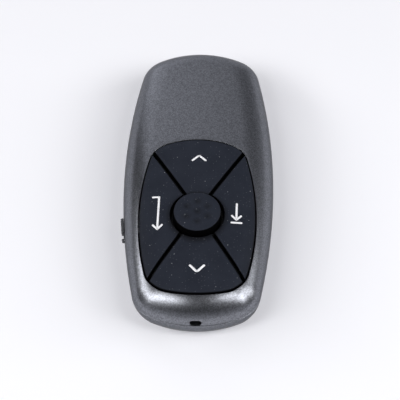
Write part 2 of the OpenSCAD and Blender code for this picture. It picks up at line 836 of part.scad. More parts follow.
top_case();
bottom_case();
inner_frame();
key_frame();
up_key();
down_key();
enter_key();
tab_key();
laser_button();
tact_switch(switch_sites[0]);  // up_switch
tact_switch(switch_sites[1]);  // down_switch
tact_switch(switch_sites[2]);  // enter_switch
tact_switch(switch_sites[3]);  // tab_switch
tact_switch(switch_sites[4]);  // laser_switch
tact_plunger(switch_sites[0]);  // up_plunger
tact_plunger(switch_sites[1]);  // down_plunger
tact_plunger(switch_sites[2]);  // enter_plunger
tact_plunger(switch_sites[3]);  // tab_plunger
tact_plunger(switch_sites[4]);  // laser_plunger
circuit_board();
controller_chip();
crystal();
board_antenna();
chip_parts();
insulating_sheet();
board_screws();
case_screws();
power_slider();
power_switch();
power_switch_lever();
laser_barrel();
laser_lens();
laser_diode();
laser_driver_board();
laser_cradle();
laser_window();
battery_door();
battery_left();
battery_right();
spring_left();
spring_right();
contact_positive();
contact_negative();
contact_bridge();
receiver_grip();
receiver_plug();
receiver_tongue();
receiver_contacts();
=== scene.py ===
"""Wireless presentation clicker in a studio: a satin gunmetal case, four soft-touch keys round
a raised laser button, a ridged power slider and a USB receiver stowed in the nose.

Shapes are worked out in millimetres in the part's own frame and scaled to metres as each mesh
is made. +Y is the laser end, +X is right, +Z is up, and the base lies at z = 0.
"""

import json
from math import acos, asin, atan2, ceil, cos, degrees, pi, radians, sin, sqrt, tan, tau

import bmesh
import bpy
from mathutils import Matrix, Vector


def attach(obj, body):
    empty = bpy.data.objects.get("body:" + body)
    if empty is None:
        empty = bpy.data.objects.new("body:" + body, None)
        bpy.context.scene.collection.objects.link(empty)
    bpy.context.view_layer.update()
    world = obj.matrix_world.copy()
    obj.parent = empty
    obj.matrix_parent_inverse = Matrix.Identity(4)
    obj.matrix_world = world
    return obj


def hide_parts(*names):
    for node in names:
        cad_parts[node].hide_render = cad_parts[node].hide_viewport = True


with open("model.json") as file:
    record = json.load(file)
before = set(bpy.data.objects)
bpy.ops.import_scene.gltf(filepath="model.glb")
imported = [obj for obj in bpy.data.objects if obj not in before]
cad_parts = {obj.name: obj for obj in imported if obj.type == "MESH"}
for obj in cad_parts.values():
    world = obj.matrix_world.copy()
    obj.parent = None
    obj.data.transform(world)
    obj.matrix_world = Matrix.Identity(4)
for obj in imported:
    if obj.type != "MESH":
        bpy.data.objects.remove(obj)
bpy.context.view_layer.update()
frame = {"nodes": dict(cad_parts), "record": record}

MM = 0.001

# Case. Shoulder and base roll are its rounded upper and lower edges, as wide as given here
CASE_W = 45
CASE_HALF_L = 50
FLANK_R = 200
PARTING_Z = 9.8
CROWN_Z = 19.6
CROWN_ACROSS_R = 120
CROWN_ALONG_R = 400
WALL = 1.5
SHOULDER_W = 9.0
BASE_ROLL_W = 8.4
HALF_SEAM = 0.09
SEAM_EDGE_R = 0.16
OPENING_EDGE_R = 0.14
CASE_SCREW_X = 11.5
CASE_SCREW_Y = 29
LANYARD_SLOT_Z = 10.9
LASER_Z = 12.35
LASER_HOLE_R = 1.5

# Power slider, in the left flank at the parting line
SLIDER_Y = -17.7
SLIDER_TURN = asin(-SLIDER_Y / FLANK_R)
SLIDER_SLOT_HALF_H = 0.93

# Key panel. The keys' inner ends are round about BUTTON_Y. The grooves meet a little ahead of
# it, and the button's cap is centred a little behind it
PANEL_W = 34.4
PANEL_Y = -17.8
GROOVE_Y = -17.4
GROOVE_ANGLE = 58
GROOVE_W = 1.06
KEY_GAP = 0.35
KEY_PROUD = 0.3
KEY_EDGE_R = 0.32
KEY_SKIRT = 1.3
BUTTON_R = 6.8
BUTTON_Y = -18.2
BUTTON_Z = 21.02
BUTTON_DOME = 0.15
BUTTON_EDGE_R = 0.3
BUTTON_BASE = 16.9
CAP_Y = -18.4
RING_R = BUTTON_R + 1.0
DIMPLE_RING_R = 3.5
DIMPLE_R = 0.9
DIMPLE_DEPTH = 0.24

# Cells and their springs, each from a contact plate at one end of the battery bay
CELL_X = 5.45
CELL_Z = 7.2
SPRING_L = 4.6
REAR_PLATE_Y = -32.6
FRONT_PLATE_Y = 16.6


# ---- Outlines and surfaces ----

def toward(angle):
    """Unit vector at an angle in degrees."""
    return Vector((cos(radians(angle)), sin(radians(angle))))


def heading(v):
    """Angle of a vector in degrees."""
    return degrees(atan2(v.y, v.x))


def quarter_turn(steps):
    """Angles from 0 to 90 degrees, in radians."""
    return [radians(90 * k / steps) for k in range(steps + 1)]


def tucked(ca, ra, cb, rb, r):
    """Centre of a circle of radius r that touches circles a and b from inside."""
    d = cb - ca
    a = ((ra - r) ** 2 - (rb - r) ** 2 + d.length_squared) / (2 * d.length)
    h = sqrt((ra - r) ** 2 - a * a)
    along = d.normalized()
    return ca + a * along + h * Vector((along.y, -along.x))


def outline(width, mid, front, rear, radii):
    """Right half of an outline as five tangent arcs: (centre, radius, first facing, last)."""
    nose, front_corner, flank, rear_corner, tail = radii
    c1 = Vector((0, mid + front - nose))
    c3 = Vector((width / 2 - flank, mid))
    c5 = Vector((0, mid - rear + tail))
    c2 = tucked(c1, nose, c3, flank, front_corner)
    c4 = tucked(c3, flank, c5, tail, rear_corner)
    turns = [90, heading(c2 - c1), heading(c2 - c3), heading(c4 - c3), heading(c4 - c5), -90]
    return list(zip((c1, c2, c3, c4, c5), radii, turns, turns[1:]))


CASE_LINE = outline(CASE_W, 0, CASE_HALF_L, CASE_HALF_L, (30, 9.4, FLANK_R, 9.7, 32))
PANEL_LINE = outline(PANEL_W, PANEL_Y, 26.9, 26.2, (29, 7.4, 77, 8.9, 36))


def facing_point(line, angle, side, inset):
    """Point of an outline that faces an angle, moved inwards. side is 1 right, -1 left."""
    for centre, radius, first, last in line:
        if angle >= last - 1e-6:
            p = centre + (radius - inset) * toward(angle)
            return Vector((side * p.x, p.y))


def inset_of(line, p):
    """Distance from a point to an outline, positive inside it."""
    best = None
    for centre, radius, first, last in line:
        v = Vector((abs(p.x), p.y)) - centre
        if last - 1e-4 <= heading(v) <= first + 1e-4:
            d = radius - v.length
            best = d if best is None else min(best, d)
    return best


def shoulder_rise(share):
    """Quarter ellipse: 0 at the rim, 1 where the shoulder ends."""
    left = 1 - min(1, max(0, share))
    return sqrt(1 - left * left)


def roof(p, depth=0.0):
    """Height of the case's top over a point, or of the surface at a depth under it."""
    crown = CROWN_Z - p.x ** 2 / (2 * CROWN_ACROSS_R) - p.y ** 2 / (2 * CROWN_ALONG_R)
    share = (inset_of(CASE_LINE, p) - depth) / (SHOULDER_W - depth)
    return PARTING_Z + (crown - depth - PARTING_Z) * shoulder_rise(share)


def edge_drop(distance, radius):
    """How far a rounded edge lies below its surface, at a distance from the edge's foot."""
    if distance >= radius:
        return 0.0
    return radius - sqrt(max(0.0, radius ** 2 - (radius - distance) ** 2))


# ---- Meshes ----

def grid_faces(rows, columns, wrap_rows, wrap_columns):
    """Quads over a grid of vertices that is stored row by row."""
    faces = []
    for j in range(rows if wrap_rows else rows - 1):
        for i in range(columns if wrap_columns else columns - 1):
            k, up = (i + 1) % columns, (j + 1) % rows
            faces.append((j * columns + i, j * columns + k, up * columns + k, up * columns + i))
    return faces


def end_faces(total, ring):
    """The two faces that close a tube whose rings are stored one after another."""
    return [tuple(range(ring)), tuple(range(total - ring, total))]


def tidy_mesh(mesh, weld=0.0):
    """Welds points that lie closer than weld, and turns all faces outwards."""
    bm = bmesh.new()
    bm.from_mesh(mesh)
    if weld:
        bmesh.ops.remove_doubles(bm, verts=bm.verts, dist=weld)
    bmesh.ops.recalc_face_normals(bm, faces=bm.faces)
    bm.to_mesh(mesh)
    bm.free()


def make_piece(name, points, faces, material=None):
    """Object from points in millimetres, with its faces turned outwards."""
    mesh = bpy.data.meshes.new(name)
    mesh.from_pydata([Vector(p) * MM for p in points], [], faces)
    tidy_mesh(mesh)
    mesh.shade_smooth()
    piece = bpy.data.objects.new(name, mesh)
    bpy.context.scene.collection.objects.link(piece)
    if material:
        mesh.materials.append(material)
    return piece


def prism(points, reach):
    """Points and faces of a prism from a flat polygon along the vector reach."""
    n = len(points)
    solid = [Vector(p) for p in points] + [Vector(p) + Vector(reach) for p in points]
    faces = end_faces(2 * n, n)
    faces += [(i, (i + 1) % n, n + (i + 1) % n, n + i) for i in range(n)]
    return solid, faces


def block(low, high):
    """Box from its lowest and highest corners."""
    (x0, y0, z0), (x1, y1, z1) = low, high
    return make_piece("cutter", *prism([(x0, y0, z0), (x1, y0, z0), (x1, y1, z0), (x0, y1, z0)],
                                       (0, 0, z1 - z0)))


def rod(centre, radius, reach, steps=48):
    """Cylinder from a centre point along the vector reach."""
    turn = Vector(reach).to_track_quat("Z", "Y")
    ring = [Vector(centre) + turn @ Vector((radius * cos(a), radius * sin(a), 0))
            for a in (tau * i / steps for i in range(steps))]
    return make_piece("cutter", *prism(ring, reach))


def profile_bar(profile, half_w):
    """Bar across the case from a profile of (y, z) points."""
    return make_piece("cutter", *prism([(-half_w, y, z) for y, z in profile], (2 * half_w, 0, 0)))


def join_solid(piece, *others):
    """Adds solids to a solid."""
    for other in others:
        combine(piece, other, "UNION")


def cut(piece, *cutters):
    """Takes the cutters out of a solid."""
    for cutter in cutters:
        combine(piece, cutter, "DIFFERENCE")


def combine(piece, other, operation):
    """Applies one boolean step and deletes the other solid."""
    step = piece.modifiers.new(operation.lower(), "BOOLEAN")
    step.operation = operation
    step.solver = "EXACT"
    step.object = other
    seen = piece.evaluated_get(bpy.context.evaluated_depsgraph_get())
    mesh = bpy.data.meshes.new_from_object(seen)
    piece.modifiers.remove(step)
    old, piece.data = piece.data, mesh
    mesh.name = piece.name
    bpy.data.meshes.remove(old)
    spare = other.data
    bpy.data.objects.remove(other)
    bpy.data.meshes.remove(spare)
    mesh.shade_smooth()
    mesh.set_sharp_from_angle(angle=radians(38))


# ---- Materials ----
#
# Numbered inputs: a MapRange takes its value, then the range it comes from and the range it
# goes to, which is 0 to 1 unless given. A Mix takes its factor, and its two colours as 6 and 7.

def linear(colour):
    """Linear RGBA from an sRGB hex value."""
    channels = [int(colour[i:i + 2], 16) / 255 for i in (1, 3, 5)]
    return [c / 12.92 if c <= 0.04045 else ((c + 0.055) / 1.055) ** 2.4 for c in channels] + [1]


def add(tree, kind, inputs=None, **settings):
    """Adds a node with its settings. An input is a value, a socket to link, or a node whose
    first output is linked."""
    node = tree.nodes.new("ShaderNode" + kind)
    for name, value in settings.items():
        setattr(node, name, value)
    for key, value in (inputs or {}).items():
        if isinstance(value, bpy.types.Node):
            value = value.outputs[0]
        if isinstance(value, bpy.types.NodeSocket):
            tree.links.new(value, node.inputs[key])
        else:
            node.inputs[key].default_value = value
    return node


def new_material(name):
    """Empty material, its tree, and the object's own coordinates in millimetres."""
    material = bpy.data.materials.new(name)
    material.use_nodes = True
    tree = material.node_tree
    tree.nodes.clear()
    place = add(tree, "TexCoord").outputs["Object"]
    place = add(tree, "VectorMath", {0: place, "Scale": 1 / MM}, operation="SCALE")
    return material, tree, place


def gunmetal_paint():
    """Metallic lacquer sprayed on moulded ABS: aluminium flakes in a grey base give a satin
    sheen with a fine, uneven sparkle. Real flakes are about 0.05 mm; they are drawn at
    0.25 mm so that they show."""
    flake, tilt = 0.25, 0.025
    material, tree, place = new_material("gunmetal_paint")
    flakes = add(tree, "TexVoronoi", {"Vector": place, "Scale": 1 / flake}).outputs["Color"]
    lean = add(tree, "VectorMath", {0: flakes, 1: (0.5, 0.5, 0.5)}, operation="SUBTRACT")
    lean = add(tree, "VectorMath", {0: lean, "Scale": tilt}, operation="SCALE")
    normal = add(tree, "NewGeometry").outputs["Normal"]
    normal = add(tree, "VectorMath", {0: normal, 1: lean}, operation="ADD")
    normal = add(tree, "VectorMath", {0: normal}, operation="NORMALIZE")
    glint = add(tree, "MapRange", {0: add(tree, "SeparateColor", {0: flakes}), 1: 0.1, 2: 0.9})
    colour = add(tree, "Mix", {0: glint, 6: linear("#696b70"), 7: linear("#87898f")},
                 data_type="RGBA").outputs[2]
    drift = add(tree, "TexNoise", {"Vector": place, "Scale": 1 / 9.0, "Detail": 2.0})
    satin = add(tree, "MapRange", {0: drift, 1: 0.3, 2: 0.7, 3: 0.275, 4: 0.29})
    surface = add(tree, "BsdfPrincipled", {
        "Base Color": colour, "Metallic": 1.0, "Roughness": satin, "Normal": normal,
        "Specular Tint": (0.5, 0.5, 0.5, 1)})
    add(tree, "OutputMaterial", {"Surface": surface})
    return material


def soft_touch_coat(name, spots, near, far, share):
    """Polyurethane soft-touch coat sprayed on moulded keys from above: nearly matt, blue-black,
    with a velvety bloom and a fine grain. It thins out down the sides to the bare black
    moulding, which is drawn darker still as painted shade in the gaps. Painted shade darkens
    it by a share within near mm of the spots, and fades out at far.
    Real grain and dust are finer than 0.05 mm; the grain is drawn at 0.35 mm, and the specks
    0.18 and 0.26 mm across, so that they show."""
    material, tree, place = new_material(name)
    grain = add(tree, "TexNoise", {"Vector": place, "Scale": 1 / 0.35, "Detail": 3.0})
    bloom = add(tree, "TexNoise", {"Vector": place, "Scale": 1 / 6.0, "Detail": 3.0})
    bloom = add(tree, "MapRange", {0: bloom, 1: 0.3, 2: 0.7})
    colour = add(tree, "Mix", {0: bloom, 6: linear("#1d212b"), 7: linear("#232731")},
                 data_type="RGBA").outputs[2]

    # Painted shade near the spots: the raised button's shadow on the keys, and shade in the
    # button's dimples
    plan = add(tree, "VectorMath", {0: place, 1: (1, 1, 0)}, operation="MULTIPLY")
    painted_shade = None
    for x, y in spots:
        away = add(tree, "VectorMath", {0: plan, 1: (x, y, 0)}, operation="DISTANCE")
        away = away.outputs["Value"]
        painted_shade = away if painted_shade is None else add(tree, "Math", {0: painted_shade, 1: away}, operation="MINIMUM")
    painted_shade = add(tree, "MapRange", {0: painted_shade, 1: near, 2: far, 3: share, 4: 0.0})
    colour = add(tree, "Mix", {0: painted_shade, 6: colour, 7: linear("#08090c")},
                 data_type="RGBA").outputs[2]

    # Size of a cell, radius of its speck, share of cells without one, and strongest speck
    for cell, radius, bare, most in ((3.1, 0.13, 0.66, 0.9), (0.9, 0.09, 0.72, 0.36)):
        dust = add(tree, "TexVoronoi", {"Vector": place, "Scale": 1 / cell},
                   voronoi_dimensions="2D")
        pick = add(tree, "SeparateColor", {0: dust.outputs["Color"]}).outputs
        speck = add(tree, "MapRange", {0: dust.outputs["Distance"], 1: 0.4 * radius / cell,
                                       2: radius / cell, 3: 1.0, 4: 0.0})
        kept = add(tree, "MapRange", {0: pick[0], 1: bare, 2: bare + 0.01})
        strength = add(tree, "MapRange", {0: pick[1], 4: most})
        for level in (kept, strength):
            speck = add(tree, "Math", {0: speck, 1: level}, operation="MULTIPLY")
        colour = add(tree, "Mix", {0: speck, 6: colour, 7: linear("#b4b7bd")},
                     data_type="RGBA").outputs[2]

    # Sides that face away from the top are drawn nearly black: bare moulding, darkened further as
    # painted shade in the gaps between keys and under the button's edge
    upward = add(tree, "SeparateXYZ", {0: add(tree, "TexCoord").outputs["Normal"]}).outputs["Z"]
    coat = add(tree, "MapRange", {0: upward, 1: 0.45, 2: 0.95})
    colour = add(tree, "Mix", {0: coat, 6: linear("#040405"), 7: colour},
                 data_type="RGBA").outputs[2]
    gloss = add(tree, "MapRange", {0: coat, 3: 0.02, 4: 0.15})
    relief = add(tree, "Bump", {"Height": grain, "Strength": 0.15, "Distance": 0.02 * MM})
    surface = add(tree, "BsdfPrincipled", {
        "Base Color": colour, "Normal": relief, "Roughness": 0.62, "Specular IOR Level": gloss})
    add(tree, "OutputMaterial", {"Surface": surface})
    return material


def moulded_nylon(name, low, high, gloss):
    """Glass-filled nylon moulded against a spark-eroded tool: dark, dull and finely pitted.
    Real pits are about 0.1 mm apart; they are drawn 0.25 mm apart so that they show."""
    material, tree, place = new_material(name)
    pits = add(tree, "TexNoise", {"Vector": place, "Scale": 1 / 0.25, "Detail": 4.0})
    relief = add(tree, "Bump", {"Height": pits, "Strength": 0.3, "Distance": 0.03 * MM})
    colour = add(tree, "Mix", {0: pits, 6: linear(low), 7: linear(high)},
                 data_type="RGBA").outputs[2]
    dull = add(tree, "MapRange", {0: pits, 1: 0.3, 2: 0.7, 3: 0.45, 4: 0.6})
    surface = add(tree, "BsdfPrincipled", {
        "Base Color": colour, "Normal": relief, "Roughness": dull, "Specular IOR Level": gloss})
    add(tree, "OutputMaterial", {"Surface": surface})
    return material


def pad_print():
    """White ink stamped on the keys by a soft pad: flat, with thinner spots 0.5 mm across."""
    material, tree, place = new_material("white_pad_print")
    cover = add(tree, "TexNoise", {"Vector": place, "Scale": 1 / 0.5, "Detail": 3.0})
    cover = add(tree, "MapRange", {0: cover, 1: 0.3, 2: 0.7})
    colour = add(tree, "Mix", {0: cover, 6: linear("#f0f0f4"), 7: linear("#fbfbfd")},
                 data_type="RGBA").outputs[2]
    surface = add(tree, "BsdfPrincipled", {"Base Color": colour, "Roughness": 0.55})
    add(tree, "OutputMaterial", {"Surface": surface})
    return material


def solder_mask():
    """Green solder mask over glass-fibre laminate: glossy, with the copper tracks raised and
    paler. A row of the pattern is a quarter of its size, so the tracks are 0.55 mm apart."""
    size = 2.2
    material, tree, place = new_material("green_solder_mask")
    tracks = add(tree, "TexBrick", {
        "Vector": place, "Scale": 1 / size, "Color1": linear("#16452d"),
        "Color2": linear("#1b5536"), "Mortar": linear("#2a7a4d"), "Mortar Size": 0.09},
        offset=0.5)
    relief = add(tree, "Bump", {"Height": tracks.outputs["Fac"], "Strength": 0.4,
                                "Distance": 0.04 * MM})
    surface = add(tree, "BsdfPrincipled", {
        "Base Color": tracks.outputs["Color"], "Normal": relief, "Roughness": 0.32})
    add(tree, "OutputMaterial", {"Surface": surface})
    return material


def mottled(name, low, high, size, detail, roughness):
    """Plain hard or thin material whose colour drifts between two tones over size mm."""
    material, tree, place = new_material(name)
    drift = add(tree, "TexNoise", {"Vector": place, "Scale": 1 / size, "Detail": detail})
    colour = add(tree, "Mix", {0: drift, 6: linear(low), 7: linear(high)},
                 data_type="RGBA").outputs[2]
    surface = add(tree, "BsdfPrincipled", {"Base Color": colour, "Roughness": roughness})
    add(tree, "OutputMaterial", {"Surface": surface})
    return material


def white_nylon():
    """Nylon moulded as the plug's tongue: off-white, with faint flow marks 1 mm apart."""
    material, tree, place = new_material("white_nylon")
    flow = add(tree, "TexWave", {"Vector": place, "Scale": 0.3, "Distortion": 4.0}).outputs[1]
    colour = add(tree, "Mix", {0: flow, 6: linear("#dddcd6"), 7: linear("#ecebe6")},
                 data_type="RGBA").outputs[2]
    surface = add(tree, "BsdfPrincipled", {"Base Color": colour, "Roughness": 0.45})
    add(tree, "OutputMaterial", {"Surface": surface})
    return material


def brushed(name, low, high, per_mm, roughness):
    """Metal drawn, brushed or turned: per_mm streaks to the millimetre along each axis dull and
    tint it."""
    material, tree, place = new_material(name)
    streaks = add(tree, "VectorMath", {0: place, 1: per_mm}, operation="MULTIPLY")
    streaks = add(tree, "TexNoise", {"Vector": streaks, "Scale": 1.0, "Detail": 3.0})
    relief = add(tree, "Bump", {"Height": streaks, "Strength": 0.2, "Distance": 0.01 * MM})
    colour = add(tree, "Mix", {0: streaks, 6: linear(low), 7: linear(high)},
                 data_type="RGBA").outputs[2]
    dull = add(tree, "MapRange", {0: streaks, 1: 0.3, 2: 0.7,
                                  3: roughness - 0.06, 4: roughness + 0.06})
    surface = add(tree, "BsdfPrincipled", {
        "Base Color": colour, "Metallic": 1.0, "Normal": relief, "Roughness": dull})
    add(tree, "OutputMaterial", {"Surface": surface})
    return material


def moulded_acrylic(name, colour, roughness):
    """Clear or tinted acrylic from a polished mould: glassy, with a faint ripple 3 mm wide."""
    material, tree, place = new_material(name)
    ripple = add(tree, "TexNoise", {"Vector": place, "Scale": 1 / 3.0})
    relief = add(tree, "Bump", {"Height": ripple, "Strength": 0.1, "Distance": 0.02 * MM})
    surface = add(tree, "BsdfPrincipled", {
        "Base Color": linear(colour), "Normal": relief, "Roughness": roughness,
        "Transmission Weight": 0.9, "IOR": 1.49})
    add(tree, "OutputMaterial", {"Surface": surface})
    return material


def cell_sleeve():
    """Printed film shrunk over a steel can: blue with a pale line 1 mm wide round it, glossy
    with scuffs over 5 mm, and bare nickel at the ends."""
    line_y = -8.0
    material, tree, place = new_material("printed_cell_sleeve")
    facing = add(tree, "SeparateXYZ", {0: add(tree, "TexCoord").outputs["Normal"]}).outputs["Y"]
    bare = add(tree, "MapRange", {0: add(tree, "Math", {0: facing}, operation="ABSOLUTE"),
                                  1: 0.85, 2: 0.9})
    along = add(tree, "SeparateXYZ", {0: place}).outputs["Y"]
    line = add(tree, "Math", {0: along, 1: line_y}, operation="COMPARE")
    ink = add(tree, "Mix", {0: line, 6: linear("#24607f"), 7: linear("#d8dadd")},
              data_type="RGBA").outputs[2]
    wear = add(tree, "TexNoise", {"Vector": place, "Scale": 1 / 5.0, "Detail": 4.0})
    wear = add(tree, "MapRange", {0: wear, 1: 0.3, 2: 0.7, 3: 0.28, 4: 0.36})
    colour = add(tree, "Mix", {0: bare, 6: ink, 7: linear("#b4b6b8")},
                 data_type="RGBA").outputs[2]
    surface = add(tree, "BsdfPrincipled", {
        "Base Color": colour, "Metallic": bare, "Roughness": wear})
    add(tree, "OutputMaterial", {"Surface": surface})
    return material


FINISHES = {
    "case_paint": gunmetal_paint(),
    # The keys get a painted shadow round the raised button, reaching furthest on the tail side
    "soft_touch": soft_touch_coat("soft_touch_coat", [(0, BUTTON_Y - 0.9)], 7.4, 9.3, 0.8),
    "black_plastic": moulded_nylon("black_nylon", "#101114", "#1c1d20", 0.2),
    "circuit_green": solder_mask(),
    # Epoxy moulded round the chip: black and matt, with the mould's grain drawn at 0.12 mm
    "chip_black": mottled("epoxy_package", "#17181a", "#26272a", 0.12, 2.0, 0.7),
    # Ceramic pressed and fired as chip parts: tan and matt, slightly mottled
    "ceramic_parts": mottled("fired_ceramic", "#7c5b3f", "#a08060", 0.4, 3.0, 0.5),
    "white_plastic": white_nylon(),
    # Kraft paper rolled to an insulating film: tan, faintly fibrous, semi-gloss
    "tan_sheet": mottled("kraft_film", "#c4ad66", "#ddc986", 0.6, 5.0, 0.4),
    # Nickel on drawn sheet, screw steel, thin gold on rolled strip, and brass from the lathe
    "nickel": brushed("nickel_plate", "#a9acb0", "#c6c8cb", (0.6, 0.6, 10), 0.3),
    "steel": brushed("screw_steel", "#83868a", "#9b9da1", (2, 2, 2), 0.35),
    "gold": brushed("gold_plate", "#c2963c", "#dcb862", (0.6, 10, 0.6), 0.28),
    "brass": brushed("turned_brass", "#a88445", "#c7a566", (0.5, 10, 0.5), 0.3),
    "lens_glass": moulded_acrylic("clear_acrylic", "#eef4f6", 0.05),
    "window_red": moulded_acrylic("red_acrylic", "#a01820", 0.08),
    "cell_label": cell_sleeve(),
    "print": pad_print(),
}


# ---- Case ----

def case_columns(steps=(14, 18, 34, 18, 14)):
    """Facings round the case as (angle, side), closer together on the corners."""
    right = [first + (last - first) * i / n
             for (_, _, first, last), n in zip(CASE_LINE, steps) for i in range(n)] + [-90.0]
    return [(a, 1) for a in right] + [(a, -1) for a in right[-2:0:-1]]


COLUMNS = case_columns()


def top_section(angle, side):
    """Closed section of the top case, from its rim to the key opening and back inside."""
    shoulder_steps, crown_steps, inner_steps, widest_share = 40, 14, 16, 0.86
    rim = facing_point(CASE_LINE, angle, side, 0)
    lip = facing_point(PANEL_LINE, angle, side, 0)
    reach = (lip - rim).length
    way = (lip - rim) / reach
    points = []
    for turn in quarter_turn(4):
        points.append((rim + way * SEAM_EDGE_R * (1 - sin(turn)),
                       PARTING_Z + HALF_SEAM + SEAM_EDGE_R * (1 - cos(turn))))
    shoulder = min(SHOULDER_W, widest_share * reach)
    turn = acos(1 - shoulder / SHOULDER_W)
    runs = [SHOULDER_W * (1 - cos(turn * j / shoulder_steps))
            for j in range(2, shoulder_steps + 1)]
    flat_end = reach - OPENING_EDGE_R
    runs += [shoulder + (flat_end - shoulder) * j / crown_steps for j in range(1, crown_steps + 1)]
    runs += [reach - OPENING_EDGE_R * (1 - sin(turn)) for turn in quarter_turn(5)[1:]]
    for run in runs:
        p = rim + way * run
        points.append((p, roof(p) - edge_drop(reach - run, OPENING_EDGE_R)))
    inner_rim = facing_point(CASE_LINE, angle, side, WALL)
    points.append((lip, roof(lip, WALL)))
    for j in range(1, inner_steps + 1):
        p = inner_rim + (lip - inner_rim) * (1 - cos(radians(90 * (1 - j / inner_steps))))
        points.append((p, PARTING_Z + HALF_SEAM if j == inner_steps else roof(p, WALL)))
    return [(p.x, p.y, z) for p, z in points]


def top_case():
    """Upper half, with the lanyard slot in its eye, the laser's way out and the slider's slot."""
    sections = [top_section(*column) for column in COLUMNS]
    points = [p for section in sections for p in section]
    piece = make_piece("top_case_shell", points,
                       grid_faces(len(sections), len(sections[0]), True, True))
    cut(piece, lanyard_eye(), lanyard_slot(), rod((0, 46, LASER_Z), LASER_HOLE_R, (0, 8, 0)),
        slider_slot())
    return piece


def lanyard_slot():
    """Cutter for the lanyard slot: a rounded bar along the case, 3.4 mm wide and 2 mm high."""
    half_w, half_h, r = 0.93, 0.25, 0.75
    corner = [(half_w + r * cos(a), half_h + r * sin(a)) for a in quarter_turn(8)]
    right = [(x, LANYARD_SLOT_Z - z) for x, z in reversed(corner)]
    right += [(x, LANYARD_SLOT_Z + z) for x, z in corner]
    section = right + [(-x, z) for x, z in reversed(right)]
    return make_piece("cutter", *prism([(x, -CASE_HALF_L - 1, z) for x, z in section], (0, 5, 0)))


def lanyard_eye():
    """Cutter for the shallow eye round the slot, 7 mm wide: a lens across the tail."""
    centre, half_w, half_h, depth = Vector((0, -50.75, 10.85)), 4.6, 1.7, 1.25
    rows, columns = 24, 48
    points = []
    for j in range(rows + 1):
        polar = pi * j / rows
        for i in range(columns):
            a = tau * i / columns
            points.append(centre + Vector((half_w * cos(polar), depth * sin(polar) * cos(a),
                                           half_h * sin(polar) * sin(a))))
    piece = make_piece("cutter", points, grid_faces(rows + 1, columns, False, True))
    tidy_mesh(piece.data, weld=1e-7)
    return piece


def bottom_case():
    """Lower half: a rolled dish with a lip, screw posts, a channel that leads the lanyard down,
    and the openings for battery door, receiver, fingertip and screws."""
    lip_out, lip_in, lip_top, lip_foot = 1.7, 2.4, PARTING_Z + 1.1, PARTING_Z - 1.2
    roll_steps, inner_steps, inner_start = 40, 16, 14
    section = [(BASE_ROLL_W * (1 - cos(t)), PARTING_Z * (1 - sin(t)))
               for t in (radians(90 * (1 - k / roll_steps)) for k in range(roll_steps - 1))]
    section += [(SEAM_EDGE_R * (1 - cos(t)), PARTING_Z - HALF_SEAM - SEAM_EDGE_R * (1 - sin(t)))
                for t in quarter_turn(4)]
    section += [(lip_out, PARTING_Z - HALF_SEAM), (lip_out, lip_top), (lip_in, lip_top),
                (lip_in, lip_foot)]
    for k in range(inner_steps + 1):
        t = radians(inner_start + (90 - inner_start) * k / inner_steps)
        section.append((WALL + (BASE_ROLL_W - WALL) * (1 - cos(t)),
                        PARTING_Z - (PARTING_Z - WALL) * sin(t)))
    loops = [[(*facing_point(CASE_LINE, a, side, inset), z) for a, side in COLUMNS]
             for inset, z in section]
    n = len(COLUMNS)
    points = [p for loop in loops for p in loop]
    faces = grid_faces(len(loops), n, False, True) + end_faces(len(points), n)
    piece = make_piece("bottom_case_shell", points, faces)
    channel_wall = [(-40.3, 1.4), (-45.3, 1.5), (-47.3, 3.5), (-47.3, 9.8), (-40.3, 9.8)]
    join_solid(piece, profile_bar(channel_wall, 2.9))
    for x in (-CASE_SCREW_X, CASE_SCREW_X):
        foot = rod((x, CASE_SCREW_Y, 1.4), 2.9, (0, 0, 2.2))
        post = rod((x, CASE_SCREW_Y, 1.4), 2.2, (0, 0, 8.35))
        join_solid(piece, foot, post)
    door_opening = block((-12.25, -34.4, -1), (12.25, 17, 1.52))
    dock_mouth = block((-7.75, 41.6, 1.7), (7.75, 52, 8.1))
    fingertip_scoop = rod((0, 50, -1), 5, (0, 0, 4))
    channel = [(-41.3, -1), (-44.6, -1), (-45.8, 4.5), (-45.8, 11.8), (-41.3, 11.8)]
    slot_clearance = block((-3.2, -48.6, 9.7), (3.2, -47, 11.8))
    cut(piece, door_opening, dock_mouth, fingertip_scoop, profile_bar(channel, 1.9),
        slot_clearance, slider_slot())
    for x in (-CASE_SCREW_X, CASE_SCREW_X):
        counterbore = rod((x, CASE_SCREW_Y, -1), 2, (0, 0, 3.2))
        pilot_hole = rod((x, CASE_SCREW_Y, -1), 1.1, (0, 0, 12))
        cut(piece, counterbore, pilot_hole)
    return piece


# ---- Power slider ----

def at_slider(x, y, z):
    """Point given in the slider's frame: -x out of the left flank, y forward along it."""
    foot = Vector((-(CASE_LINE[2][0].x + FLANK_R * cos(SLIDER_TURN)), SLIDER_Y, PARTING_Z))
    return foot + Matrix.Rotation(SLIDER_TURN, 3, "Z") @ Vector((x, y, z))


def slider_block(low, high):
    """Box in the slider's frame."""
    (x0, y0, z0), (x1, y1, z1) = low, high
    corners = [at_slider(x, y, z0) for x, y in ((x0, y0), (x1, y0), (x1, y1), (x0, y1))]
    return make_piece("slider_block", *prism(corners, (0, 0, z1 - z0)))


def slider_slot():
    """Cutter for the slot that the slider's neck runs in, half of it in each part of the case."""
    return slider_block((-3, -1.65, -SLIDER_SLOT_HALF_H), (6, 3.65, SLIDER_SLOT_HALF_H))


